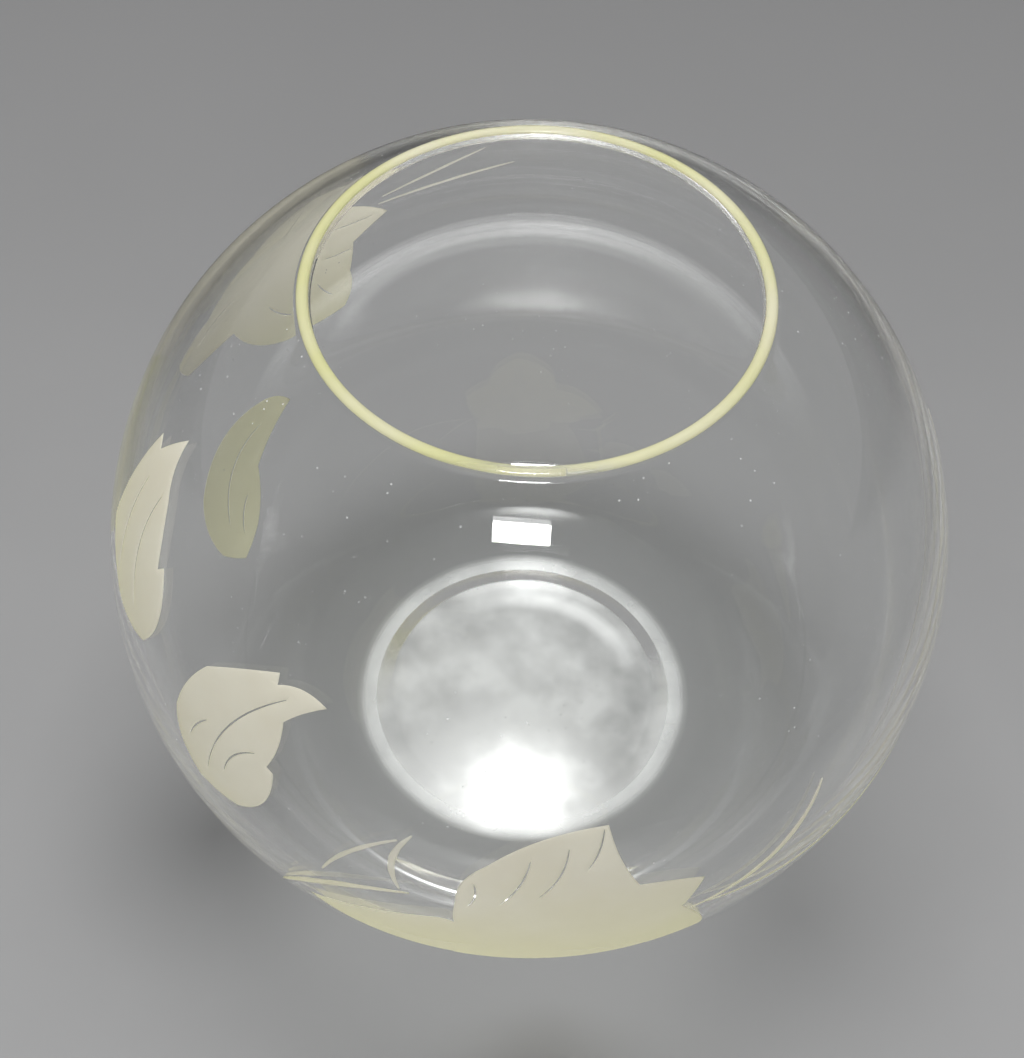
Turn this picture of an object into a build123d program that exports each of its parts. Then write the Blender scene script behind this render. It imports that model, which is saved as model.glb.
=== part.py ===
from build123d import *
from math import asin, atan2, cos, degrees, radians, sin, sqrt
import os

# Rose bowl: a ball of clear blown glass with a flattened foot and a rolled lip. Outside it
# carries a vine of fired satin enamel, and its lip is banded in yellow. The origin is the
# centre of the foot, on the table. +Z is up, and the big leaf faces -Y. Millimetres.

os.makedirs("parts", exist_ok=True)

# Glass ball. The hollow sits a little high in it, so the wall thins towards the lip.
bowl_radius = 76.0
ball_centre_height = 62.0
wall_thickness = 2.4
hollow_lift = 0.9
floor_height = 8.5
outer_heel_radius = 21.4
inner_heel_radius = 30.0

# Lip
lip_radius = 36.0
lip_bead_radius = 1.05
lip_turn_out = 0.1
neck_radius = 2.5

# Foot: a flat ring to stand on, around a shallow dome pushed up into the glass
foot_ring_width = 4.5
foot_flat_radius = sqrt(
    (bowl_radius - outer_heel_radius) ** 2 - (ball_centre_height - outer_heel_radius) ** 2
)
foot_ring_inner_radius = foot_flat_radius - foot_ring_width
foot_ring_edge_share = 0.025
dome_skirt_width_share = 0.125
dome_skirt_height_share = 0.07
dome_height_share = 0.1
dome_blend_share = 0.094
foot_ring_edge_radius = foot_ring_edge_share * foot_ring_inner_radius
dome_skirt_width = dome_skirt_width_share * foot_ring_inner_radius
dome_skirt_height = dome_skirt_height_share * foot_ring_inner_radius
dome_height = dome_height_share * foot_ring_inner_radius
dome_blend_radius = dome_blend_share * foot_ring_inner_radius

# Enamel. The band's two angles are taken about the bead's centre, up from its outward side.
enamel_thickness = 0.15
band_start_angle = 24
band_end_angle = 150
band_reach = 3.0
band_wall_sweep = 3.5
stroke_tip_width = 0.35
vein_width = 0.8

cut_overrun = 1.0
# How deep an outline is cut into the ball, as a share of the ball's radius
cut_depth_share = 0.5

# Big leaf at the front. A leaf's angles are the azimuth and latitude of its middle.
leaf_front_width = 64.0
leaf_front_height = 68.0
leaf_front_angles = (-88, -4)
leaf_front_shares = [
    (0.19, 0.45, -0.03),
    (0.28, 0.225, 0.05),
    (0.445, 0.175, 0.02),
    (0.40, 0.05, 0.08),
    (0.48, -0.24, 0.06),
    (0.31, -0.32, 0.12),
    (0.09, -0.54, 0.10),
    (-0.15, -0.40, 0.04),
    (-0.19, -0.27, 0.13),
    (-0.56, -0.11, 0.05),
    (-0.22, 0.07, 0.10),
    (-0.175, 0.06, 0.03),
    (-0.17, 0.18, 0.12),
    (-0.095, 0.33, 0.11),
]
leaf_front_vein_shares = [
    (0.15, 0.32, 0.18, 0.44, -0.06),
    (0.035, 0.22, 0.10, 0.39, -0.08),
    (-0.06, 0.185, 0.01, 0.355, -0.06),
    (-0.14, 0.16, -0.125, 0.26, -0.10),
    (0.10, -0.12, 0.38, -0.20, -0.05),
    (0.02, -0.22, 0.08, -0.45, 0.06),
    (-0.13, -0.10, -0.44, -0.11, 0.08),
]

# Smaller leaf at the front left
leaf_front_left_width = 28.0
leaf_front_left_height = 35.0
leaf_front_left_angles = (-127, 19)
leaf_front_left_shares = [
    (-0.50, -0.16, 0.06),
    (-0.30, 0.22, 0.02),
    (0.17, 0.46, 0.03),
    (0.18, 0.40, 0.14),
    (0.49, 0.43, -0.04),
    (0.28, 0.245, 0.07),
    (0.24, -0.06, 0.02),
    (0.29, -0.08, 0.15),
    (0.04, -0.50, 0.05),
    (-0.27, -0.52, 0.13),
]
leaf_front_left_vein_shares = [
    (-0.20, -0.39, 0.26, 0.36, 0.09),
    (-0.06, -0.30, 0.15, -0.03, 0.12),
    (-0.36, -0.26, -0.23, -0.07, 0.06),
]

# Smaller leaf at the left
leaf_left_width = 30.0
leaf_left_height = 36.0
leaf_left_angles = (-158, 26)
leaf_left_shares = [
    (-0.24, 0.42, 0.02),
    (-0.17, 0.38, 0.02),
    (-0.02, 0.575, -0.09),
    (0.15, 0.33, 0.03),
    (0.35, 0.07, 0.02),
    (0.39, 0.12, 0.19),
    (0.44, -0.35, 0.09),
    (0.05, -0.425, 0.06),
    (-0.33, -0.21, 0.02),
]
leaf_left_vein_shares = [
    (0.26, -0.27, 0.08, 0.30, 0.09),
    (-0.04, -0.30, -0.12, 0.24, 0.05),
]

# Big leaf at the back left
leaf_back_left_width = 58.0
leaf_back_left_height = 58.0
leaf_back_left_angles = (138, 15)
leaf_back_left_shares = [
    (-0.05, 0.52, 0.08),
    (0.15, 0.285, 0.05),
    (0.34, 0.08, 0.04),
    (0.51, 0.03, 0.08),
    (0.45, -0.13, 0.04),
    (0.195, -0.19, 0.02),
    (0.16, -0.265, 0.13),
    (-0.12, -0.44, 0.06),
    (-0.315, -0.415, 0.12),
    (-0.35, -0.25, 0.03),
    (-0.36, -0.10, 0.02),
    (-0.47, 0.04, 0.04),
    (-0.32, 0.14, 0.05),
    (-0.28, 0.43, 0.03),
]
leaf_back_left_vein_shares = [
    (0.02, -0.20, -0.12, -0.34, 0.10),
    (-0.22, -0.26, -0.275, -0.34, 0.06),
    (-0.25, -0.14, -0.36, -0.13, 0.06),
    (-0.27, 0.02, -0.42, 0.035, 0.06),
    (0.18, 0.02, 0.40, -0.03, 0.05),
    (0.0, 0.20, -0.03, 0.42, 0.05),
]

# Smaller leaf low on the left, towards the back
leaf_low_left_width = 36.0
leaf_low_left_height = 27.0
leaf_low_left_angles = (153, -22)
leaf_low_left_shares = [
    (-0.51, 0.28, 0.10),
    (-0.36, 0.46, 0.14),
    (0.38, 0.26, 0.12),
    (0.48, -0.24, 0.04),
    (0.35, -0.45, 0.04),
    (0.12, -0.36, 0.08),
    (-0.11, 0.01, -0.02),
]
leaf_low_left_vein_shares = [
    (0.30, -0.14, -0.26, 0.30, -0.14),
    (0.24, -0.30, 0.06, -0.10, -0.08),
]

# Stems and tendrils that grow from the big front leaf, one stroke each: its name, the place of
# its start and of its end as shares of the leaf's width and height, its width as a share of
# the brush's, and its bow to the left as a share of its length
brush_width = 1.6
leaf_front_stroke_shares = [
    ("stem_right", 0.4295, 0.019, 0.728, 0.31, 1.05, -0.14),
    ("stem_left", -0.2855, 0.1665, -0.644, -0.16, 1.0, -0.12),
    ("tendril_upright", -0.3095, 0.177, -0.2715, 0.3865, 0.75, 0.14),
    ("tendril_trailing", -0.3075, 0.361, -0.5065, 0.132, 0.55, -0.08),
]

# Those that grow from the big leaf at the back left
leaf_back_left_stroke_shares = [
    ("stem_back", -0.429, 0.099, -0.8, 0.3205, 0.65, 0.07),
    ("tendril_back", -0.4325, 0.146, -0.6695, 0.4505, 0.7, 0.09),
]

# The long stem starts at the big front leaf and ends at its own angles, on the far side.
stem_long_start_shares = (0.47, 0.022)
stem_long_end_angles = (9.9, 21.7)
stem_long_width_share = 0.95
stem_long_bow_share = -0.235


def wall_plane(outward, rightward):
    """The plane laid against the ball in the outward direction, X to the right."""
    origin = Vector(0, 0, ball_centre_height) + outward * (bowl_radius + cut_overrun)
    return Plane(origin=origin, x_dir=rightward, z_dir=outward)


def upright_plane(azimuth, latitude):
    """The plane laid against the ball at an azimuth and latitude, Y up."""
    outward = Vector(cos(radians(latitude)), 0, sin(radians(latitude))).rotate(Axis.Z, azimuth)
    return wall_plane(outward, Vector(0, 1, 0).rotate(Axis.Z, azimuth))


def wall_direction(angles, across=0, up=0):
    """From the ball's centre to the point of its outside that lies so far across and up on
    the plane laid against it at these angles."""
    plane = upright_plane(*angles)
    depth = sqrt(bowl_radius**2 - across**2 - up**2)
    return (plane.x_dir * across + plane.y_dir * up + plane.z_dir * depth).normalized()


def stroke_shape(start, end, width, bow_share):
    """A brush stroke that swells from blunt tips to its width and bows to its left."""
    run = end - start
    tip = run.normalized().rotate(Axis.Z, 90) * stroke_tip_width / 2
    bow = bow_share * run.length
    swell = (width - stroke_tip_width) / 2
    with BuildSketch(Plane.XY) as shape:
        with BuildLine():
            SagittaArc(start + tip, end + tip, bow + swell)
            Line(end + tip, end - tip)
            SagittaArc(end - tip, start - tip, swell - bow)
            Line(start - tip, start + tip)
        make_face()
    return shape.sketch


def leaf_shape(width, height, corner_shares, vein_shares):
    """A leaf with its veins left bare. Its outline is arcs, corner to corner clockwise.
    A corner is its place, as shares of width and height, and the outward bow of the arc
    after it, as a share of the chord. A vein is its two ends and its bow."""
    corners = [Vector(x * width, y * height) for x, y, bow_share in corner_shares]
    with BuildSketch(Plane.XY) as shape:
        with BuildLine():
            for index, (x, y, bow_share) in enumerate(corner_shares):
                start = corners[index]
                end = corners[(index + 1) % len(corners)]
                SagittaArc(start, end, bow_share * (end - start).length)
        make_face()
        for start_x, start_y, end_x, end_y, bow_share in vein_shares:
            start = Vector(start_x * width, start_y * height)
            end = Vector(end_x * width, end_y * height)
            add(stroke_shape(start, end, vein_width, bow_share), mode=Mode.SUBTRACT)
    return shape.sketch


# Bowl: one piece of glass, turned from half its section.
hollow_radius = bowl_radius - wall_thickness
hollow_height = ball_centre_height + hollow_lift
foot_angle = degrees(asin(ball_centre_height / bowl_radius))
floor_angle = degrees(asin((hollow_height - floor_height) / hollow_radius))
lip_wall_middle = bowl_radius - (wall_thickness - hollow_lift) / 2
lip_distance = lip_wall_middle + lip_turn_out
lip_height = ball_centre_height + sqrt(lip_distance**2 - lip_radius**2)
lip_angle = degrees(atan2(lip_height - ball_centre_height, lip_radius))
hollow_lip_angle = degrees(atan2(lip_height - hollow_height, lip_radius))
foot_corner = (bowl_radius * cos(radians(foot_angle)), 0)
floor_corner = (hollow_radius * cos(radians(floor_angle)), floor_height)
skirt_corner = (foot_ring_inner_radius - dome_skirt_width, dome_skirt_height)
ring_corner = (foot_ring_inner_radius, 0)

with BuildPart() as bowl:
    with BuildSketch(Plane.XZ) as bowl_section:
        with BuildLine():
            outside_sweep = -lip_angle - foot_angle
            inside_sweep = -hollow_lip_angle - floor_angle
            outside = CenterArc((0, ball_centre_height), bowl_radius, lip_angle, outside_sweep)
            inside = CenterArc((0, hollow_height), hollow_radius, hollow_lip_angle, inside_sweep)
            Line(outside @ 0, inside @ 0)
            Polyline(outside @ 1, (0, 0), (0, floor_height), inside @ 1)
        make_face()
        fillet(vertices().sort_by_distance(foot_corner)[0], outer_heel_radius)
        fillet(vertices().sort_by_distance(floor_corner)[0], inner_heel_radius)
        with Locations((lip_radius, lip_height)):
            Circle(lip_bead_radius)
        fillet(vertices().sort_by_distance((lip_radius, lip_height))[0:2], neck_radius)
        with BuildLine():
            Polyline(
                (0, -cut_overrun),
                (0, dome_height),
                skirt_corner,
                ring_corner,
                (foot_ring_inner_radius, -cut_overrun),
                close=True,
            )
        make_face(mode=Mode.SUBTRACT)
        fillet(vertices().sort_by_distance(skirt_corner)[0], dome_blend_radius)
        fillet(vertices().sort_by_distance(ring_corner)[0], foot_ring_edge_radius)
    revolve(axis=Axis.Z)
bowl.part.label = "bowl"
export_step(bowl.part, "parts/bowl.step")

# Rim band: a skin of yellow enamel on the outside and top of the lip. Its section is the coated
# outline of the bead and its neck, less the glass, cut to a sector about the bead's centre.
with BuildPart() as rim_band:
    with BuildSketch(Plane.XZ):
        with BuildLine():
            lip_centre = (lip_radius, lip_height)
            coat_radius = bowl_radius + enamel_thickness
            coat = CenterArc((0, ball_centre_height), coat_radius, lip_angle, -band_wall_sweep)
            Polyline(coat @ 1, lip_centre, coat @ 0)
        make_face()
        with Locations(lip_centre):
            Circle(lip_bead_radius + enamel_thickness)
        fillet(vertices().sort_by_distance(coat @ 0)[0], neck_radius - enamel_thickness)
        add(bowl_section.sketch_local, mode=Mode.SUBTRACT)
        with BuildLine():
            sweep = band_end_angle - band_start_angle
            edge = CenterArc(lip_centre, band_reach, band_start_angle, sweep)
            Polyline(edge @ 1, lip_centre, edge @ 0)
        make_face(mode=Mode.INTERSECT)
    revolve(axis=Axis.Z)
rim_band.part.label = "rim_band"
export_step(rim_band.part, "parts/rim_band.step")

# The coat that every leaf and stroke is cut from: a thin skin on the outside of the ball.
with BuildPart() as enamel_coat:
    with Locations((0, 0, ball_centre_height)):
        Sphere(bowl_radius + enamel_thickness)
        Sphere(bowl_radius, mode=Mode.SUBTRACT)

cut_depth = cut_depth_share * bowl_radius

# Leaves: each is its outline, cut out of the coat at its azimuth and latitude.
leaves = [
    (
        "leaf_front",
        leaf_front_angles,
        leaf_front_width,
        leaf_front_height,
        leaf_front_shares,
        leaf_front_vein_shares,
    ),
    (
        "leaf_front_left",
        leaf_front_left_angles,
        leaf_front_left_width,
        leaf_front_left_height,
        leaf_front_left_shares,
        leaf_front_left_vein_shares,
    ),
    (
        "leaf_left",
        leaf_left_angles,
        leaf_left_width,
        leaf_left_height,
        leaf_left_shares,
        leaf_left_vein_shares,
    ),
    (
        "leaf_back_left",
        leaf_back_left_angles,
        leaf_back_left_width,
        leaf_back_left_height,
        leaf_back_left_shares,
        leaf_back_left_vein_shares,
    ),
    (
        "leaf_low_left",
        leaf_low_left_angles,
        leaf_low_left_width,
        leaf_low_left_height,
        leaf_low_left_shares,
        leaf_low_left_vein_shares,
    ),
]
for name, angles, width, height, corner_shares, vein_shares in leaves:
    with BuildPart() as leaf:
        with BuildSketch(upright_plane(*angles)):
            add(leaf_shape(width, height, corner_shares, vein_shares))
        extrude(amount=-cut_depth)
        add(enamel_coat.part, mode=Mode.INTERSECT)
    leaf.part.label = name
    export_step(leaf.part, f"parts/{name}.step")

# Stems and tendrils: one stroke of enamel each, cut on the plane midway between its ends.
leaf_front_size = (leaf_front_width, leaf_front_height)
leaf_back_left_size = (leaf_back_left_width, leaf_back_left_height)
strokes = [
    (
        "stem_long",
        wall_direction(
            leaf_front_angles,
            stem_long_start_shares[0] * leaf_front_width,
            stem_long_start_shares[1] * leaf_front_height,
        ),
        wall_direction(stem_long_end_angles),
        stem_long_width_share,
        stem_long_bow_share,
    )
]
for angles, (width, height), rows in [
    (leaf_front_angles, leaf_front_size, leaf_front_stroke_shares),
    (leaf_back_left_angles, leaf_back_left_size, leaf_back_left_stroke_shares),
]:
    for name, start_x, start_y, end_x, end_y, width_share, bow_share in rows:
        start = wall_direction(angles, start_x * width, start_y * height)
        end = wall_direction(angles, end_x * width, end_y * height)
        strokes.append((name, start, end, width_share, bow_share))
for name, start, end, width_share, bow_share in strokes:
    chord = end - start
    reach = Vector(bowl_radius * chord.length / 2, 0)
    with BuildPart() as stroke:
        with BuildSketch(wall_plane((start + end).normalized(), chord)):
            add(stroke_shape(-reach, reach, width_share * brush_width, bow_share))
        extrude(amount=-cut_depth)
        add(enamel_coat.part, mode=Mode.INTERSECT)
    stroke.part.label = name
    export_step(stroke.part, f"parts/{name}.step")
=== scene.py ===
import random
from math import atan2, cos, degrees, hypot, pi, radians, sin, sqrt, tan

import bpy
from mathutils import Matrix, Vector
from mathutils.geometry import delaunay_2d_cdt


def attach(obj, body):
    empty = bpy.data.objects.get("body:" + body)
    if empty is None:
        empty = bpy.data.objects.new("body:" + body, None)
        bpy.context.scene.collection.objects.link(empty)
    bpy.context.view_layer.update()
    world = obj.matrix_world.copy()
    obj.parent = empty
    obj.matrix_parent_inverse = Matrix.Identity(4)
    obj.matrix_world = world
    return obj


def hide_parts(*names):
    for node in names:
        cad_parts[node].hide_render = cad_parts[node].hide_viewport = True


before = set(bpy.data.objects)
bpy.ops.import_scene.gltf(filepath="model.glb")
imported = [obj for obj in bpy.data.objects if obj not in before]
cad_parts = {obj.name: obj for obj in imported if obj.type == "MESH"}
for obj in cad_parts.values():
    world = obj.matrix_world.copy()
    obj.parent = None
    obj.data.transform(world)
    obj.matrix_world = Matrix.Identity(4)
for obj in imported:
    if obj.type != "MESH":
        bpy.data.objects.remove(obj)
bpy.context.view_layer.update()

# Bowl
# The real piece is one ball of clear soda-lime glass, blown in a mould. Its bottom is left
# thick, with a dome pushed up inside the worn ring that it stands on, and its lip is melted
# round. No mould touched the inside and the dome, so they ripple a little.
MM = 0.001
bowl_radius = 76.0 * MM
ball_height = 62.0 * MM
hollow_radius = 73.6 * MM
hollow_height = 62.9 * MM
floor_height = 8.5 * MM
outer_heel_radius = 21.4 * MM
inner_heel_radius = 30.0 * MM
lip_radius = 36.0 * MM
lip_height = 128.194 * MM
bead_radius = 1.05 * MM
neck_radius = 2.5 * MM
ring_width = 4.5 * MM
ring_edge_radius = 0.8 * MM
skirt_width = 4.0 * MM
skirt_height = 2.24 * MM
dome_height = 3.2 * MM
blend_reach = 0.8 * MM
blend_lift = 0.05 * MM
wall_ripple = 0.02 * MM
bottom_ripple = 0.012 * MM
turns = 288
dome_steps = 26
bead_top = 90
ball_centre = (0, ball_height)
hollow_centre = (0, hollow_height)
bead_centre = (lip_radius, lip_height)


def bearing(start, end):
    """The angle, in degrees, at which one point of the half section sees another."""
    return degrees(atan2(end[1] - start[1], end[0] - start[0]))


def meeting_point(first, first_distance, second, second_distance, side):
    """The point at these distances from two others, to the left of the line between them
    where side is 1 and to its right where it is -1."""
    span = hypot(second[0] - first[0], second[1] - first[1])
    along = (first_distance**2 - second_distance**2 + span**2) / (2 * span)
    aside = side * sqrt(first_distance**2 - along**2)
    run_r, run_z = (second[0] - first[0]) / span, (second[1] - first[1]) / span
    return (
        first[0] + run_r * along - run_z * aside,
        first[1] + run_z * along + run_r * aside,
    )


def arc(centre, radius, start, end, count, ripple=0.0):
    """Points of an arc, the short way from one angle to another, with their ripple."""
    sweep = (end - start + 180) % 360 - 180
    angles = [radians(start + sweep * i / count) for i in range(count + 1)]
    return [(centre[0] + radius * cos(a), centre[1] + radius * sin(a), ripple) for a in angles]


def line(start, end, count, ripple=0.0):
    """Points along a straight run, but for its end."""
    return [
        tuple(a + (b - a) * i / count for a, b in zip(start, end)) + (ripple,)
        for i in range(count)
    ]


def bend(start, corner, end, count, ripple=0.0):
    """Points of a soft corner."""
    points = []
    for i in range(count):
        t = i / count
        shares = ((1 - t) ** 2, 2 * t * (1 - t), t**2)
        points.append(
            tuple(sum(s * p[k] for s, p in zip(shares, (start, corner, end))) for k in (0, 1))
            + (ripple,)
        )
    return points


outer_heel = (
    sqrt((bowl_radius - outer_heel_radius) ** 2 - (ball_height - outer_heel_radius) ** 2),
    outer_heel_radius,
)
inner_heel = (
    sqrt(
        (hollow_radius - inner_heel_radius) ** 2
        - (hollow_height - floor_height - inner_heel_radius) ** 2
    ),
    floor_height + inner_heel_radius,
)
neck_reach = bead_radius + neck_radius
outer_neck = meeting_point(ball_centre, bowl_radius + neck_radius, bead_centre, neck_reach, -1)
inner_neck = meeting_point(
    hollow_centre, hollow_radius - neck_radius, bead_centre, neck_reach, 1
)
ring_radius = outer_heel[0] - ring_width
skirt_slope = atan2(skirt_height, skirt_width)
ring_edge = (ring_radius + ring_edge_radius * tan(skirt_slope / 2), ring_edge_radius)
skirt_corner = (ring_radius - skirt_width, skirt_height)
blend_start = (
    skirt_corner[0] + blend_reach * cos(skirt_slope),
    skirt_corner[1] - blend_reach * sin(skirt_slope),
)
dome_edge = (skirt_corner[0] - blend_reach, skirt_height + blend_lift)
skirt_start = arc(ring_edge, ring_edge_radius, -90, -90 - degrees(skirt_slope), 5)

bowl_section = line((0, floor_height), (inner_heel[0], floor_height), 30)
bowl_section += arc(
    inner_heel, inner_heel_radius, -90, bearing(hollow_centre, inner_heel), 24
)
bowl_section += arc(
    hollow_centre,
    hollow_radius,
    bearing(hollow_centre, inner_heel),
    bearing(hollow_centre, inner_neck),
    96,
    wall_ripple,
)[1:]
bowl_section += arc(
    inner_neck,
    neck_radius,
    bearing(hollow_centre, inner_neck),
    bearing(inner_neck, bead_centre),
    10,
)[1:]
bowl_section += arc(bead_centre, bead_radius, bearing(bead_centre, inner_neck), bead_top, 18)[1:]
bowl_section += arc(bead_centre, bead_radius, bead_top, bearing(bead_centre, outer_neck), 10)[1:]
bowl_section += arc(
    outer_neck,
    neck_radius,
    bearing(outer_neck, bead_centre),
    bearing(outer_neck, ball_centre),
    10,
)[1:]
bowl_section += arc(
    ball_centre,
    bowl_radius,
    bearing(ball_centre, outer_neck),
    bearing(ball_centre, outer_heel),
    110,
)[1:]
bowl_section += arc(
    outer_heel, outer_heel_radius, bearing(ball_centre, outer_heel), -90, 24
)[1:]
bowl_section += line((outer_heel[0], 0), (ring_edge[0], 0), 4)[1:]
bowl_section += skirt_start
bowl_section += line(skirt_start[-1][:2], blend_start, 4)[1:]
bowl_section += bend(blend_start, skirt_corner, dome_edge, 8)
for i in range(dome_steps + 1):
    r = dome_edge[0] * (1 - i / dome_steps)
    z = dome_height - (dome_height - dome_edge[1]) * (r / dome_edge[0]) ** 2
    bowl_section.append((r, z, bottom_ripple * min(1, 0.2 * i)))

random.seed(11)
ripples = [
    (
        Vector((random.gauss(0, 1), random.gauss(0, 1), random.gauss(0, 1))).normalized()
        * 2 * pi / (length * MM),
        random.uniform(0, 2 * pi),
    )
    for length in (60, 52, 45, 40, 36, 33, 30, 27, 14, 12, 11, 10, 9, 8)
]
slow_ripples, quick_ripples = ripples[:8], ripples[8:]


def ripple_at(place, waves):
    """The unevenness that blown glass has on a face that no mould touched, about -1 to 1."""
    return sum(sin(wave.dot(place) + phase) for wave, phase in waves) / sqrt(len(waves))


def turned(name, profile, closed):
    """A mesh turned about the upright axis from points of a half section. Where it isn't
    closed, its first and last points lie on the axis."""
    vertices, faces, rings = [], [], []
    for index, (r, z, ripple) in enumerate(profile):
        before, after = profile[index - 1], profile[(index + 1) % len(profile)]
        run_r, run_z = after[0] - before[0], after[1] - before[1]
        span = hypot(run_r, run_z)
        out_r, out_z = -run_z / span, run_r / span
        if not closed and index in (0, len(profile) - 1):
            lift = ripple * ripple_at(Vector((0, 0, z)), quick_ripples)
            rings.append([len(vertices)] * turns)
            vertices.append((0, 0, z + (lift if index == 0 else -lift)))
            continue
        ring = []
        waves = quick_ripples if z < 1.01 * floor_height else slow_ripples
        for turn in range(turns):
            angle = 2 * pi * turn / turns
            place = Vector((r * cos(angle), r * sin(angle), z))
            lift = ripple * ripple_at(place, waves) if ripple else 0
            ring.append(len(vertices))
            place_r, place_z = r + out_r * lift, z + out_z * lift
            vertices.append((place_r * cos(angle), place_r * sin(angle), place_z))
        rings.append(ring)
    pairs = list(zip(rings, rings[1:] + (rings[:1] if closed else [])))
    for lower, upper in pairs[: None if closed else len(rings) - 1]:
        for turn in range(turns):
            nxt = (turn + 1) % turns
            face = [lower[turn], upper[turn], upper[nxt], lower[nxt]]
            faces.append(list(dict.fromkeys(face)))
    return smooth_piece(name, vertices, faces)


def smooth_piece(name, vertices, faces):
    """A new piece in the scene, shaded smooth."""
    mesh = bpy.data.meshes.new(name)
    mesh.from_pydata([tuple(v) for v in vertices], [], faces)
    mesh.shade_smooth()
    piece = bpy.data.objects.new(name, mesh)
    bpy.context.scene.collection.objects.link(piece)
    return piece


class Channel:
    """An output of a material's nodes. Maths on it adds the Math nodes."""

    def __init__(self, tree, output=None):
        self.tree = tree
        self.output = output

    def node(self, kind, settings, inputs, output=0):
        """Adds a node: its type, then its settings, then the values or links of its sockets,
        then which of its outputs is wanted."""
        node = self.tree.nodes.new(kind)
        for name, value in settings.items():
            setattr(node, name, value)
        for name, value in inputs.items():
            if isinstance(value, Channel):
                self.tree.links.new(value.output, node.inputs[name])
            else:
                node.inputs[name].default_value = value
        return Channel(self.tree, node.outputs[output]) if node.outputs else None

    def maths(self, operation, first, second=0.0):
        """One Math node on one or two values."""
        return self.node("ShaderNodeMath", {"operation": operation}, {0: first, 1: second})

    def __add__(self, other):
        return self.maths("ADD", self, other)

    __radd__ = __add__

    def __sub__(self, other):
        return self.maths("SUBTRACT", self, other)

    def __rsub__(self, other):
        return self.maths("SUBTRACT", other, self)

    def __mul__(self, other):
        return self.maths("MULTIPLY", self, other)

    __rmul__ = __mul__

    def __pow__(self, other):
        return self.maths("POWER", self, other)

    def ramp(self, start, end):
        """0 up to the start, 1 from the end on, and even between them."""
        sockets = {"Value": self, "From Min": start, "From Max": end}
        return self.node("ShaderNodeMapRange", {"clamp": True}, sockets)

    def coloured(self, value):
        """A plain colour for others to be mixed into."""
        plain = self.node("ShaderNodeRGB", {}, {})
        plain.output.default_value = value
        return plain

    def mixed(self, other, factor):
        """This colour with so much of another in it."""
        settings = {"data_type": "RGBA"}
        return self.node("ShaderNodeMix", settings, {0: factor, 6: self, 7: other}, 2)

    def coordinate(self, axis):
        """One coordinate of this place."""
        return self.node("ShaderNodeSeparateXYZ", {}, {"Vector": self}, axis)

    def distance(self, spot):
        """How far this place is from a spot."""
        settings = {"operation": "DISTANCE"}
        return self.node("ShaderNodeVectorMath", settings, {0: self, 1: spot}, "Value")

    def noise(self, scale, detail):
        """Cloudy noise, mostly near a half, at this place."""
        sockets = {"Vector": self, "Scale": scale, "Detail": detail}
        return self.node("ShaderNodeTexNoise", {}, sockets)

    def ray(self, question):
        """What the light path says of the ray that looks."""
        return self.node("ShaderNodeLightPath", {}, {}, question)

    def blend(self, factor, first, second):
        """A surface that is the first one, with so much of the second in it."""
        return self.node("ShaderNodeMixShader", {}, {0: factor, 1: first, 2: second})


def new_finish(name):
    """A new material, and the channel that its nodes start from."""
    material = bpy.data.materials.new(name)
    material.use_nodes = True
    material.node_tree.nodes.clear()
    return material, Channel(material.node_tree)


clear_index = 1.5
glass_tint = (0.99, 0.994, 0.991, 1)
glass_shadow = (0.975, 0.98, 0.978, 1)
dust_colour = (0.85, 0.86, 0.86, 1)
smear_roughness = 0.03
underside_roughness = 0.17
underside_end = (3.5 * MM, 4.5 * MM)
dust_share = 0.7
worn_rise = (0.02 * MM, 0.12 * MM)
worn_edge = (34.3 * MM, 35.5 * MM)
heel_shade = 0.12
heel_rise = (8 * MM, 45 * MM)
heel_edge = (32 * MM, 40 * MM)
clear_glass, start = new_finish("clear_glass")
place = start.node("ShaderNodeTexCoord", {}, {}, "Object")
smear = place.noise(scale=60, detail=4)
speck = start.node("ShaderNodeTexVoronoi", {}, {"Vector": place, "Scale": 340})
scatter = place.noise(scale=45, detail=2)
dust = (1 - speck.ramp(0.03, 0.07)) * scatter.ramp(0.46, 0.60)
height = place.coordinate("Z")
underside = 1 - height.ramp(*underside_end)
plan = start.node("ShaderNodeVectorMath", {"operation": "MULTIPLY"}, {0: place, 1: (1, 1, 0)})
away = plan.distance((0, 0, 0))
glass = start.node(
    "ShaderNodeBsdfPrincipled",
    {},
    {
        "Base Color": glass_tint,
        "Roughness": smear.ramp(0.55, 0.75) * smear_roughness + underside * underside_roughness,
        "IOR": clear_index,
        "Transmission Weight": 1.0,
    },
)
dusty = start.node(
    "ShaderNodeBsdfPrincipled", {}, {"Base Color": dust_colour, "Roughness": 0.8}
)
worn = (1 - height.ramp(*worn_rise)) * (1 - away.ramp(*worn_edge))
worn = worn * (0.2 + smear.ramp(0.3, 0.7) * 0.25)
matt = start.maths("MAXIMUM", dust * dust_share, worn)
surface = start.blend(matt, glass, dusty)
# Light on its way to the table goes straight through, less of it where the wall is edge-on
# and round the heel.
edge_on = start.node("ShaderNodeLayerWeight", {}, {"Blend": 0.5}, "Facing")
heel = (1 - height.ramp(*heel_rise)) * away.ramp(*heel_edge)
direct = start.ray("Is Shadow Ray") * (1 - edge_on**3) * (1 - heel * heel_shade)
lit = start.maths("MAXIMUM", direct, start.ray("Is Diffuse Ray"))
clear = start.node("ShaderNodeBsdfTransparent", {}, {"Color": glass_shadow})
finished = start.blend(lit, surface, clear)
start.node("ShaderNodeOutputMaterial", {}, {"Surface": finished})

bowl = turned("glass_bowl", bowl_section, closed=False)
bowl.data.materials.append(clear_glass)
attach(bowl, "root")
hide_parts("bowl")

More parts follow.
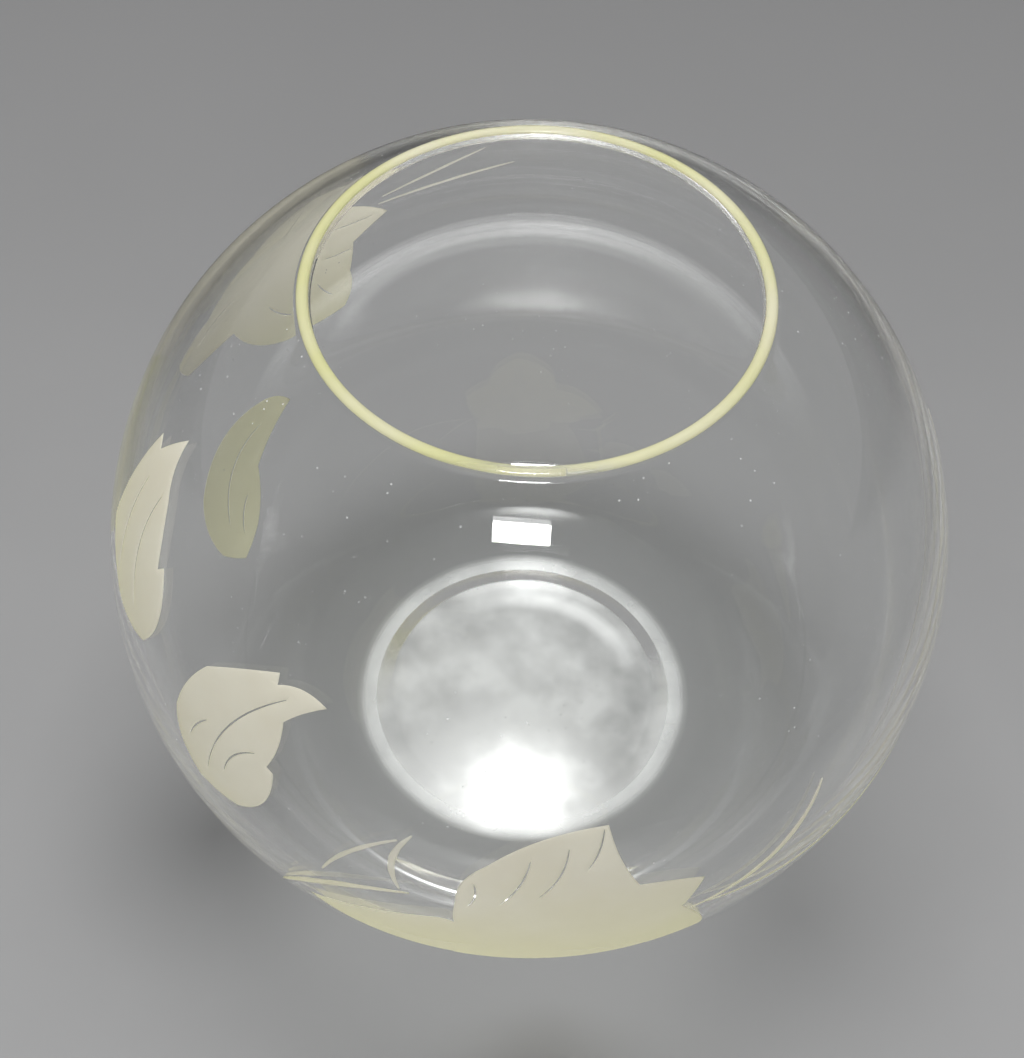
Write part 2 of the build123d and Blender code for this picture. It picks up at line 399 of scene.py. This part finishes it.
# Rim band
# The real piece is a line of yellow enamel, brushed on the outside and top of the lip while
# the bowl turns on a wheel, and fired on. The inside of the lip stays bare glass, and the
# front of the line is worn thin.
band_thickness = 0.12 * MM
band_sink = 0.02 * MM
band_edge = 0.01 * MM
band_rise = 0.45 * MM
band_neck_sweep = 3
band_inner_angle = 148
neck_start = bearing(bead_centre, outer_neck)
band_line = arc(bead_centre, bead_radius, band_inner_angle, neck_start, 30)
neck_line = arc(
    outer_neck, neck_radius, neck_start + 180, neck_start + 180 + band_neck_sweep, 4
)
band_line += neck_line[1:]
lengths = [0.0]
for before, after in zip(band_line, band_line[1:]):
    lengths.append(lengths[-1] + hypot(after[0] - before[0], after[1] - before[1]))
outside_points, inside_points = [], []
for index, (r, z, _) in enumerate(band_line):
    before = band_line[max(index - 1, 0)]
    after = band_line[min(index + 1, len(band_line) - 1)]
    run_r, run_z = after[0] - before[0], after[1] - before[1]
    span = hypot(run_r, run_z)
    out_r, out_z = -run_z / span, run_r / span
    reach = min(lengths[index], lengths[-1] - lengths[index], band_rise) / band_rise
    height = band_thickness * sqrt(max(0, 1 - (1 - reach) ** 2)) + band_edge
    outside_points.append((r + out_r * height, z + out_z * height, 0))
    inside_points.append((r - out_r * band_sink, z - out_z * band_sink, 0))

rim_yellow = (0.76, 0.76, 0.43, 1)
rim_pale = (0.84, 0.82, 0.66, 1)
rim_opacity = 0.84
rim_opacity_worn = 0.18
rim_glow = 0.35
rim_shadow_loss = 0.6
rim_worn_end = (-35.8 * MM, -33.5 * MM)
rim_enamel, start = new_finish("rim_enamel")
place = start.node("ShaderNodeTexCoord", {}, {}, "Object")
patch = place.noise(scale=40, detail=3)
grain = place.noise(scale=2600, detail=2)
colour = start.coloured(rim_yellow).mixed(rim_pale, patch.ramp(0.4, 0.65))
full = place.coordinate("Y").ramp(*rim_worn_end)
relief = start.node(
    "ShaderNodeBump", {}, {"Height": grain, "Strength": 0.15, "Distance": 0.02 * MM}
)
enamel = start.node(
    "ShaderNodeBsdfPrincipled",
    {},
    {
        "Base Color": colour,
        "Roughness": patch.ramp(0.3, 0.7) * 0.12 + 0.14,
        "IOR": clear_index,
        "Alpha": rim_opacity_worn + full * (rim_opacity - rim_opacity_worn),
        "Coat Weight": 1.0,
        "Coat Roughness": 0.12,
        "Normal": relief,
    },
)
glowing = start.node("ShaderNodeBsdfTranslucent", {}, {"Color": rim_pale})
surface = start.blend(full * rim_glow, enamel, glowing)
clear = start.node("ShaderNodeBsdfTransparent", {}, {"Color": rim_pale})
finished = start.blend(start.ray("Is Shadow Ray") * rim_shadow_loss, surface, clear)
start.node("ShaderNodeOutputMaterial", {}, {"Surface": finished})

band = turned("enamel_rim_band", outside_points + inside_points[::-1], closed=True)
band.data.materials.append(rim_enamel)
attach(band, "root")
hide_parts("rim_band")

# Leaves
# The real pieces are patches of cream satin enamel, painted or printed on the outside of the
# ball and fired on. Their veins are scratched through to the glass before the firing.
enamel_thickness = 0.12 * MM
enamel_edge = 0.03 * MM
enamel_sink = 0.025 * MM
edge_rise = 0.5 * MM
vein_width = 0.30 * MM
vein_tip_width = 0.10 * MM
outline_step = 1.0 * MM
fill_spacing = 1.5 * MM
fill_gap = 0.8 * edge_rise
row_share = 0.4
row_gap = 0.35 * edge_rise
weld_distance = 0.00001 * MM
# Each leaf: its width and height in mm; the azimuth and latitude of its middle; its corners,
# each with the bow of the edge after it; its veins, each from start to end, with a bow. Places
# are shares of the leaf's width and height, and a bow is a share of the edge's length.
leaves = {
    "leaf_front": (
        (64, 68),
        (-88, -4),
        [
            (0.19, 0.45, -0.03),
            (0.28, 0.225, 0.05),
            (0.445, 0.175, 0.02),
            (0.40, 0.05, 0.08),
            (0.48, -0.24, 0.06),
            (0.31, -0.32, 0.12),
            (0.09, -0.54, 0.10),
            (-0.15, -0.40, 0.04),
            (-0.19, -0.27, 0.13),
            (-0.56, -0.11, 0.05),
            (-0.22, 0.07, 0.10),
            (-0.175, 0.06, 0.03),
            (-0.17, 0.18, 0.12),
            (-0.095, 0.33, 0.11),
        ],
        [
            (0.15, 0.32, 0.18, 0.44, -0.06),
            (0.035, 0.22, 0.10, 0.39, -0.08),
            (-0.06, 0.185, 0.01, 0.355, -0.06),
            (-0.14, 0.16, -0.125, 0.26, -0.10),
            (0.10, -0.12, 0.38, -0.20, -0.05),
            (0.02, -0.22, 0.08, -0.45, 0.06),
            (-0.13, -0.10, -0.44, -0.11, 0.08),
        ],
    ),
    "leaf_front_left": (
        (28, 35),
        (-127, 19),
        [
            (-0.50, -0.16, 0.06),
            (-0.30, 0.22, 0.02),
            (0.17, 0.46, 0.03),
            (0.18, 0.40, 0.14),
            (0.49, 0.43, -0.04),
            (0.28, 0.245, 0.07),
            (0.24, -0.06, 0.02),
            (0.29, -0.08, 0.15),
            (0.04, -0.50, 0.05),
            (-0.27, -0.52, 0.13),
        ],
        [
            (-0.20, -0.39, 0.26, 0.36, 0.09),
            (-0.06, -0.30, 0.15, -0.03, 0.12),
            (-0.36, -0.26, -0.23, -0.07, 0.06),
        ],
    ),
    "leaf_left": (
        (30, 36),
        (-158, 26),
        [
            (-0.24, 0.42, 0.02),
            (-0.17, 0.38, 0.02),
            (-0.02, 0.575, -0.09),
            (0.15, 0.33, 0.03),
            (0.35, 0.07, 0.02),
            (0.39, 0.12, 0.19),
            (0.44, -0.35, 0.09),
            (0.05, -0.425, 0.06),
            (-0.33, -0.21, 0.02),
        ],
        [
            (0.26, -0.27, 0.08, 0.30, 0.09),
            (-0.04, -0.30, -0.12, 0.24, 0.05),
        ],
    ),
    "leaf_back_left": (
        (58, 58),
        (138, 15),
        [
            (-0.05, 0.52, 0.08),
            (0.15, 0.285, 0.05),
            (0.34, 0.08, 0.04),
            (0.51, 0.03, 0.08),
            (0.45, -0.13, 0.04),
            (0.195, -0.19, 0.02),
            (0.16, -0.265, 0.13),
            (-0.12, -0.44, 0.06),
            (-0.315, -0.415, 0.12),
            (-0.35, -0.25, 0.03),
            (-0.36, -0.10, 0.02),
            (-0.47, 0.04, 0.04),
            (-0.32, 0.14, 0.05),
            (-0.28, 0.43, 0.03),
        ],
        [
            (0.02, -0.20, -0.12, -0.34, 0.10),
            (-0.22, -0.26, -0.275, -0.34, 0.06),
            (-0.25, -0.14, -0.36, -0.13, 0.06),
            (-0.27, 0.02, -0.42, 0.035, 0.06),
            (0.18, 0.02, 0.40, -0.03, 0.05),
            (0.0, 0.20, -0.03, 0.42, 0.05),
        ],
    ),
    "leaf_low_left": (
        (36, 27),
        (153, -22),
        [
            (-0.51, 0.28, 0.10),
            (-0.36, 0.46, 0.14),
            (0.38, 0.26, 0.12),
            (0.48, -0.24, 0.04),
            (0.35, -0.45, 0.04),
            (0.12, -0.36, 0.08),
            (-0.11, 0.01, -0.02),
        ],
        [
            (0.30, -0.14, -0.26, 0.30, -0.14),
            (0.24, -0.30, 0.06, -0.10, -0.08),
        ],
    ),
}


def facing(azimuth, latitude):
    """Across, up and out at a place on the ball."""
    azimuth, latitude = radians(azimuth), radians(latitude)
    out = Vector(
        (cos(latitude) * cos(azimuth), cos(latitude) * sin(azimuth), sin(latitude))
    )
    across = Vector((-sin(azimuth), cos(azimuth), 0))
    return across, out.cross(across), out


def on_ball(axes, x, y, height):
    """The point so far across and up on the plane laid against the ball, dropped onto it
    and lifted off the glass by a height."""
    across, up, out = axes
    direction = across * x + up * y + out * sqrt(bowl_radius**2 - x**2 - y**2)
    return Vector((0, 0, ball_height)) + direction * (1 + height / bowl_radius)


def bowed(start, end, bow, count):
    """Points from start to end, short of the end, on a curve that bows to the left."""
    run = end - start
    left = Vector((-run.y, run.x)).normalized()
    return [
        start + run * (i / count) + left * bow * 4 * (i / count) * (1 - i / count)
        for i in range(count)
    ]


def inside(point, loop):
    """Whether a point is inside a closed outline."""
    hit = False
    for a, b in zip(loop, loop[1:] + loop[:1]):
        if (a.y > point.y) != (b.y > point.y):
            if point.x < a.x + (point.y - a.y) / (b.y - a.y) * (b.x - a.x):
                hit = not hit
    return hit


def edge_distance(point, loops):
    """How far a point is from the nearest edge of the outlines."""
    nearest = 1.0
    for loop in loops:
        for a, b in zip(loop, loop[1:] + loop[:1]):
            run = b - a
            share = max(0, min(1, (point - a).dot(run) / run.length_squared))
            nearest = min(nearest, (point - a - run * share).length)
    return nearest


def on_enamel(point, loops):
    """Whether a point is inside the leaf's outline and in none of its veins."""
    outline, *veins = loops
    return inside(point, outline) and not any(inside(point, vein) for vein in veins)


def leaf_loops(size, corner_shares, vein_shares):
    """The leaf's outline, then the outlines of its scratched veins."""
    width, height = (side * MM for side in size)
    corners = [Vector((x * width, y * height)) for x, y, _ in corner_shares]
    outline = []
    for index, (_, _, bow_share) in enumerate(corner_shares):
        start, end = corners[index], corners[(index + 1) % len(corners)]
        run = (end - start).length
        outline += bowed(start, end, bow_share * run, max(3, round(run / outline_step)))
    loops = [outline]
    for start_x, start_y, end_x, end_y, bow_share in vein_shares:
        start = Vector((start_x * width, start_y * height))
        end = Vector((end_x * width, end_y * height))
        count = max(6, round((end - start).length / outline_step))
        middle = bowed(start, end, bow_share * (end - start).length, count) + [end]
        near, far = [], []
        for i, point in enumerate(middle):
            run = middle[min(i + 1, count)] - middle[max(i - 1, 0)]
            left = Vector((-run.y, run.x)).normalized()
            swell = sqrt(max(0, sin(pi * i / count)))
            half = (vein_tip_width + (vein_width - vein_tip_width) * swell) / 2
            near.append(point + left * half)
            far.append(point - left * half)
        loops.append(near + far[::-1])
    return loops


def enamel_height(distance):
    """How thick the enamel is, so far from its edge."""
    rise = min(distance / edge_rise, 1)
    return enamel_edge + (enamel_thickness - enamel_edge) * sqrt(1 - (1 - rise) ** 2)


satin_cream = (0.88, 0.84, 0.73, 1)
satin_pale = (0.92, 0.90, 0.82, 1)
satin_yellow = (0.90, 0.88, 0.60, 1)
satin_sheen = (0.86, 0.86, 0.42, 1)
satin_opacity = 0.86
satin_glow = 0.5
satin_glow_low_back = 0.2
satin_glow_high_back = 0.56
satin_shadow_loss = 0.55
cream_rise = (62 * MM, 92 * MM)
back_rise = (45 * MM, 65 * MM)
back_edge = (0 * MM, 20 * MM)


def satin_finish(name, body):
    """The cream enamel, with a body of 1 for a full coat and less for a thin one. It is
    yellower low down, and glows less with the light behind it where it is low at the back."""
    material, start = new_finish(name)
    place = start.node("ShaderNodeTexCoord", {}, {}, "Object")
    wash = place.noise(scale=55, detail=3)
    sponge = place.noise(scale=420, detail=5)
    grain = place.noise(scale=2400, detail=2)
    height = place.coordinate("Z")
    far_side = place.coordinate("Y").ramp(*back_edge)
    pale = wash.ramp(0.35, 0.65) * 0.6 + sponge.ramp(0.35, 0.7) * 0.25
    yellow = (1 - (height + wash * 30 * MM).ramp(*cream_rise)) * 0.75
    colour = start.coloured(satin_cream).mixed(satin_pale, pale).mixed(satin_yellow, yellow)
    relief = start.node(
        "ShaderNodeBump", {}, {"Height": sponge + grain, "Strength": 0.3, "Distance": 0.03 * MM}
    )
    enamel = start.node(
        "ShaderNodeBsdfPrincipled",
        {},
        {
            "Base Color": colour,
            "Roughness": sponge.ramp(0.3, 0.7) * 0.12 + 0.42,
            "IOR": clear_index,
            "Alpha": (satin_opacity + wash.ramp(0.4, 0.7) * 0.08) * body,
            "Sheen Weight": 0.8,
            "Sheen Roughness": 0.35,
            "Sheen Tint": satin_sheen,
            "Normal": relief,
        },
    )
    glowing = start.node("ShaderNodeBsdfTranslucent", {}, {"Color": satin_pale})
    risen = height.ramp(*back_rise) * (satin_glow_high_back - satin_glow_low_back)
    back_glow = risen + (satin_glow_low_back - satin_glow)
    surface = start.blend((back_glow * far_side + satin_glow) * body, enamel, glowing)
    clear = start.node("ShaderNodeBsdfTransparent", {}, {"Color": satin_pale})
    finished = start.blend(start.ray("Is Shadow Ray") * satin_shadow_loss, surface, clear)
    start.node("ShaderNodeOutputMaterial", {}, {"Surface": finished})
    return material


satin_enamel = satin_finish("satin_enamel", 1.0)
for node_name, (size, angles, corner_shares, vein_shares) in leaves.items():
    loops = leaf_loops(size, corner_shares, vein_shares)
    points, edges = [], []
    for loop in loops:
        first = len(points)
        points += loop
        edges += [(first + i, first + (i + 1) % len(loop)) for i in range(len(loop))]
    low_x, high_x = min(p.x for p in loops[0]), max(p.x for p in loops[0])
    low_y, high_y = min(p.y for p in loops[0]), max(p.y for p in loops[0])
    for row in range(int((high_y - low_y) / fill_spacing) + 1):
        for column in range(int((high_x - low_x) / fill_spacing) + 2):
            point = Vector(
                (
                    low_x + (column - 0.5 * (row % 2)) * fill_spacing,
                    low_y + (row + 0.5) * fill_spacing,
                )
            )
            if on_enamel(point, loops) and edge_distance(point, loops) > fill_gap:
                points.append(point)
    for loop in loops:
        for before, here, after in zip(loop[-1:] + loop[:-1], loop, loop[1:] + loop[:1]):
            run = after - before
            left = Vector((-run.y, run.x)).normalized()
            for side in (1, -1):
                point = here + left * side * row_share * edge_rise
                if on_enamel(point, loops) and edge_distance(point, loops) > row_gap:
                    points.append(point)
    flat, _, triangles, *_ = delaunay_2d_cdt(points, edges, [], 0, weld_distance)
    axes = facing(*angles)
    outer, inner, faces = [], [], []
    for point in flat:
        height = enamel_height(edge_distance(point, loops))
        outer.append(on_ball(axes, point.x, point.y, height))
        inner.append(on_ball(axes, point.x, point.y, -enamel_sink))
    count = len(flat)
    borders = {}
    for triangle in triangles:
        middle = sum((Vector(flat[i]) for i in triangle), Vector((0, 0))) / 3
        if on_enamel(middle, loops):
            a, b, c = triangle
            faces.append((a, b, c))
            faces.append((c + count, b + count, a + count))
            for edge in ((a, b), (b, c), (c, a)):
                if edge[::-1] in borders:
                    del borders[edge[::-1]]
                else:
                    borders[edge] = True
    for a, b in borders:
        faces.append((b, a, a + count, b + count))
    piece = smooth_piece("enamel_" + node_name, outer + inner, faces)
    piece.data.materials.append(satin_enamel)
    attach(piece, "root")
    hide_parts(node_name)

# Stems and tendrils
# The real pieces are single strokes of a fine brush in the same enamel, laid from the leaves
# outwards. Each swells in its middle and thins to its ends, and the tendrils are a thin coat.
brush_width = 1.6 * MM
stroke_tip_width = 0.35 * MM
stroke_wobble = 0.06
# Each stroke: its name, the leaf that it is measured from, where it starts and ends in shares
# of that leaf, its width as a share of the brush's, and its bow as a share of its length.
stroke_shares = [
    ("stem_right", "leaf_front", (0.4295, 0.019), (0.728, 0.31), 1.05, -0.14),
    ("stem_left", "leaf_front", (-0.2855, 0.1665), (-0.644, -0.16), 1.0, -0.12),
    ("tendril_upright", "leaf_front", (-0.3095, 0.177), (-0.2715, 0.3865), 0.75, 0.14),
    ("tendril_trailing", "leaf_front", (-0.3075, 0.361), (-0.5065, 0.132), 0.55, -0.08),
    ("stem_long", "leaf_front", (0.47, 0.022), None, 0.95, -0.235),
    ("stem_back", "leaf_back_left", (-0.429, 0.099), (-0.8, 0.3205), 0.65, 0.07),
    ("tendril_back", "leaf_back_left", (-0.4325, 0.146), (-0.6695, 0.4505), 0.7, 0.09),
]
stem_long_end_angles = (9.9, 21.7)
thin_strokes = ("tendril_upright", "tendril_trailing", "stem_back", "tendril_back")
thin_enamel = satin_finish("thin_satin_enamel", 0.5)
stroke_stations = 72
stroke_lanes = 10
lanes = 2 * stroke_lanes


def leaf_direction(leaf_name, shares):
    """The way from the middle of the ball to a place on a leaf."""
    size, angles = leaves[leaf_name][:2]
    x, y = (share * side * MM for share, side in zip(shares, size))
    return (on_ball(facing(*angles), x, y, 0) - Vector((0, 0, ball_height))).normalized()


for name, leaf_name, start_shares, end_shares, width_share, bow_share in stroke_shares:
    begin = leaf_direction(leaf_name, start_shares)
    end = leaf_direction(leaf_name, end_shares) if end_shares else facing(*stem_long_end_angles)[2]
    out = (begin + end).normalized()
    across = (end - begin).normalized()
    axes = (across, out.cross(across), out)
    half_chord = (end - begin).length * bowl_radius / 2
    a, b = Vector((-half_chord, 0)), Vector((half_chord, 0))
    middle = bowed(a, b, bow_share * 2 * half_chord, stroke_stations) + [b]
    vertices, faces = [], []
    for i, point in enumerate(middle):
        run = middle[min(i + 1, stroke_stations)] - middle[max(i - 1, 0)]
        left = Vector((-run.y, run.x)).normalized()
        share = i / stroke_stations
        swell = 4 * share * (1 - share)
        half = (stroke_tip_width + (width_share * brush_width - stroke_tip_width) * swell) / 2
        half *= 1 + stroke_wobble * sin(23 * share + 5 * bow_share)
        for lane in range(lanes):
            upper = lane <= stroke_lanes
            offset = 2 * (lane if upper else lanes - lane) / stroke_lanes - 1
            crown = enamel_edge + (enamel_thickness - enamel_edge) * sqrt(1 - offset**2)
            spot = point + left * half * offset
            vertices.append(on_ball(axes, spot.x, spot.y, crown if upper else -enamel_sink))
    for i in range(stroke_stations):
        for lane in range(lanes):
            here, beside = i * lanes + lane, i * lanes + (lane + 1) % lanes
            faces.append((here, here + lanes, beside + lanes, beside))
    last = stroke_stations * lanes
    faces.append(tuple(range(lanes)))
    faces.append(tuple(range(last, last + lanes))[::-1])
    piece = smooth_piece("enamel_" + name, vertices, faces)
    piece.data.materials.append(thin_enamel if name in thin_strokes else satin_enamel)
    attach(piece, "root")
    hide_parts(name)

# Floor
# A plain matt grey table top, a hair under the foot. The light that the thick bottom gathers,
# the deepest of the bowl's shadow and a shade towards the far side are painted on it. It is
# clear from below, so that the foot can be looked at, and rays that something has mirrored
# see a dark room past its middle.
floor_size = 6.0
floor_drop = 0.2 * MM
floor_grey = (0.30, 0.30, 0.302, 1)
floor_light = (0.33, 0.33, 0.332, 1)
floor_far_shade = (0.20, 0.20, 0.202, 1)
far_shade_reach = (-100 * MM, 280 * MM)
floor_shade = (0.13, 0.13, 0.131, 1)
# Each dark spot: where it is, how far it reaches, and how dark it is.
floor_shades = (
    ((-62 * MM, -34 * MM, 0), 36 * MM, 0.75),
    ((58 * MM, -46 * MM, 0), 38 * MM, 0.32),
)
spot_fading = 1.5
floor_pool = (0.74, 0.74, 0.74, 1)
pool_edge = (32.5 * MM, 36.5 * MM)
foot_ring_edge = (29.5 * MM, 31.5 * MM)
core_edge = (8 * MM, 26 * MM)
dim_side = (8 * MM, 26 * MM)
pool_share = 0.38
pool_mottle_share = 0.48
core_share = 0.20
foot_ring_share = 0.05
dim_share = 0.20
floor_glare = (1.0, 1.0, 1.0, 1)
# Each painted bright spot of light: where it is, and from where to where it fades.
floor_glares = (
    ((3 * MM, -26 * MM, 0), 2 * MM, 21 * MM),
    ((-4 * MM, -27 * MM, 0), 0, 26 * MM),
    ((1 * MM, 34.5 * MM, 0), 2 * MM, 13 * MM),
)
glare_wander = 20 * MM
# Each painted bright crescent of light: its inner and outer edge, how far it is turned to the
# right, and from where to where it brightens towards the far side.
floor_crescents = (
    (24 * MM, 25.5 * MM, 0.4, 15 * MM, 27 * MM),
    (28 * MM, 30 * MM, 0, 23 * MM, 30 * MM),
)
crescent_blur = 2 * MM
crescent_share = 0.45
shine_strength = 6.0
shine_share = 0.06
mirrored_shine_share = 0.3
room_dark = (0.14, 0.14, 0.141, 1)
room_grey = (0.33, 0.33, 0.331, 1)
room_far = (0.07, 0.07, 0.071, 1)
room_darkening = (100 * MM, 200 * MM)
table_edge = (160 * MM, 200 * MM)
table_far_edge = (90 * MM, 130 * MM)


def mirrored_rays(start):
    """1 for a ray that something has mirrored, and 0 for any other."""
    return start.ray("Is Glossy Ray") * start.ray("Glossy Depth").ramp(0, 1)


def room_tone(start):
    """The dark room, lighter for rays that came through glass."""
    depth = start.ray("Transmission Depth")
    return start.coloured(room_dark).mixed(room_grey, depth.ramp(0, 1))


tabletop, start = new_finish("tabletop")
place = start.node("ShaderNodeTexCoord", {}, {}, "Object")
across, far = place.coordinate("X"), place.coordinate("Y")
away = place.distance((0, 0, 0))
cloud = place.noise(scale=9, detail=5)
pool_mottle = place.noise(scale=95, detail=4)
tone = start.coloured(floor_grey).mixed(floor_light, cloud.ramp(0.3, 0.7))
# Painted shade: the table turns darker towards the far side.
tone = tone.mixed(floor_far_shade, far.ramp(*far_shade_reach))
for spot, spot_reach, spot_share in floor_shades:
    shade = (1 - place.distance(spot).ramp(0, spot_reach)) ** spot_fading
    tone = tone.mixed(floor_shade, shade * spot_share)
# The painted pool of light under the foot: mottled, brighter in its middle and by the foot's ring,
# dimmer to the right.
pool = 1 - away.ramp(*pool_edge)
foot_ring = away.ramp(*foot_ring_edge)
core = 1 - away.ramp(*core_edge)
share = pool_mottle.ramp(0.35, 0.65) * pool_mottle_share + pool_share
share = share + core * core_share + foot_ring * foot_ring_share
share = share - across.ramp(*dim_side) * (1 - foot_ring) * dim_share
tone = tone.mixed(floor_pool, pool * share)
glare = 0
for spot, near_edge, far_edge in floor_glares:
    gap = place.distance(spot) + (pool_mottle - 0.5) * glare_wander
    glare = (1 - gap.ramp(near_edge, far_edge)) ** spot_fading * pool + glare
for inner_edge, outer_edge, lean, dim_end, bright_end in floor_crescents:
    crescent = away.ramp(inner_edge - crescent_blur, inner_edge)
    crescent = crescent * (1 - away.ramp(outer_edge, outer_edge + crescent_blur))
    crescent = crescent * (far + across * lean).ramp(dim_end, bright_end)
    glare = crescent * crescent_share + glare
tone = tone.mixed(floor_glare, glare)
mirrored = mirrored_rays(start)
# The painted light also glows a little, and more in rays that something has mirrored.
shine_seen = glare * (mirrored * mirrored_shine_share + shine_share)
shine = start.coloured((0, 0, 0, 1)).mixed(floor_glare, shine_seen)
paint = start.node(
    "ShaderNodeBsdfPrincipled",
    {},
    {
        "Base Color": tone,
        "Roughness": 0.55,
        "Specular IOR Level": 0.3,
        "Emission Color": shine,
        "Emission Strength": shine_strength,
    },
)
room_colour = room_tone(start).mixed(room_far, far.ramp(*room_darkening))
room = start.node("ShaderNodeEmission", {}, {"Color": room_colour})
off_table = start.maths("MAXIMUM", away.ramp(*table_edge), far.ramp(*table_far_edge))
top = start.blend(off_table * mirrored, paint, room)
below = start.node("ShaderNodeNewGeometry", {}, {}, "Backfacing")
nothing = start.node("ShaderNodeBsdfTransparent", {}, {"Color": (1, 1, 1, 1)})
finished = start.blend(below, top, nothing)
start.node("ShaderNodeOutputMaterial", {}, {"Surface": finished})
half = floor_size / 2
floor_mesh = bpy.data.meshes.new("tabletop")
floor_mesh.from_pydata(
    [(x, y, -floor_drop) for x, y in ((-half, -half), (half, -half), (half, half), (-half, half))],
    [],
    [(0, 1, 2, 3)],
)
floor_mesh.materials.append(tabletop)
floor = bpy.data.objects.new("tabletop", floor_mesh)
bpy.context.scene.collection.objects.link(floor)


# Light
# A small lamp high in front shows only where it is mirrored. A wide one over the far side and
# one low in front light the bowl and the table, and aren't mirrored. An even glow comes from
# all round, but mirrored rays see the dark room there.
world_glow = (0.36, 0.36, 0.36, 1)
world_backdrop = (0.33, 0.33, 0.333, 1)
ball_middle = (0, 0, ball_height)


def lamp(name, location, target, width, height, brightness):
    """A soft rectangular lamp that faces a point."""
    light = bpy.data.lights.new(name, "AREA")
    light.shape = "RECTANGLE"
    light.size, light.size_y = width, height
    light.energy = brightness * pi * width * height
    holder = bpy.data.objects.new(name, light)
    holder.location = location
    aim = Vector(target) - Vector(location)
    holder.rotation_euler = aim.to_track_quat("-Z", "Y").to_euler()
    bpy.context.scene.collection.objects.link(holder)
    return holder


front_lamp = lamp(
    "front_lamp", (-0.03, -0.85, 1.30), ball_middle, width=0.37, height=0.135, brightness=50
)
front_lamp.visible_diffuse = False
ceiling_lamp = lamp(
    "ceiling_lamp", (0.0, 0.50, 1.60), (0, 0, 0), width=1.1, height=0.9, brightness=6.9
)
fill_lamp = lamp(
    "fill_lamp", (-0.2, -1.28, 0.75), ball_middle, width=0.9, height=0.9, brightness=3.8
)
for soft_lamp in (ceiling_lamp, fill_lamp):
    soft_lamp.visible_glossy = False
    soft_lamp.visible_transmission = False

world = bpy.data.worlds.new("studio")
bpy.context.scene.world = world
world.use_nodes = True
world.node_tree.nodes.clear()
start = Channel(world.node_tree)
direct = start.maths("MAXIMUM", start.ray("Is Camera Ray"), start.ray("Is Glossy Ray"))
tone = start.coloured(world_glow).mixed(world_backdrop, direct)
tone = tone.mixed(room_tone(start), mirrored_rays(start))
glow = start.node("ShaderNodeBackground", {}, {"Color": tone, "Strength": 1.0})
start.node("ShaderNodeOutputWorld", {}, {"Surface": glow})

# Camera
# It looks down at the bowl by about 55 degrees from four ball radii away, turned a little to
# one side and tipped a little over. Light runs round inside the wall and the lip, so rays may
# bounce many times.
camera_place = Vector((0.0027, -0.1748, 0.3079))
camera_lens = 54.8
camera_turn = radians(-0.59)
camera_tilt = radians(0.29)
camera_roll = radians(2.03)
bounces = 80


def swung(first, second, angle):
    """Two directions at right angles, swung so far from the first towards the second."""
    return (
        first * cos(angle) + second * sin(angle),
        second * cos(angle) - first * sin(angle),
    )


ahead = (Vector(ball_middle) - camera_place).normalized()
sideways = ahead.cross(Vector((0, 0, 1))).normalized()
upwards = sideways.cross(ahead)
ahead, sideways = swung(ahead, sideways, camera_turn)
ahead, upwards = swung(ahead, upwards, camera_tilt)
sideways, upwards = swung(sideways, upwards, camera_roll)
camera = bpy.data.objects.new("camera", bpy.data.cameras.new("camera"))
camera.data.sensor_width = 36
camera.data.lens = camera_lens
camera.data.clip_start = 0.01
camera.matrix_world = Matrix.Translation(camera_place) @ Matrix(
    (sideways, upwards, -ahead)
).transposed().to_4x4()
bpy.context.scene.collection.objects.link(camera)
bpy.context.scene.camera = camera

scene = bpy.context.scene
scene.view_settings.view_transform = "Standard"
scene.cycles.caustics_refractive = False
scene.cycles.caustics_reflective = False
scene.cycles.max_bounces = bounces
scene.cycles.transmission_bounces = bounces
scene.cycles.glossy_bounces = bounces
scene.cycles.transparent_max_bounces = 32
scene.cycles.use_denoising = True
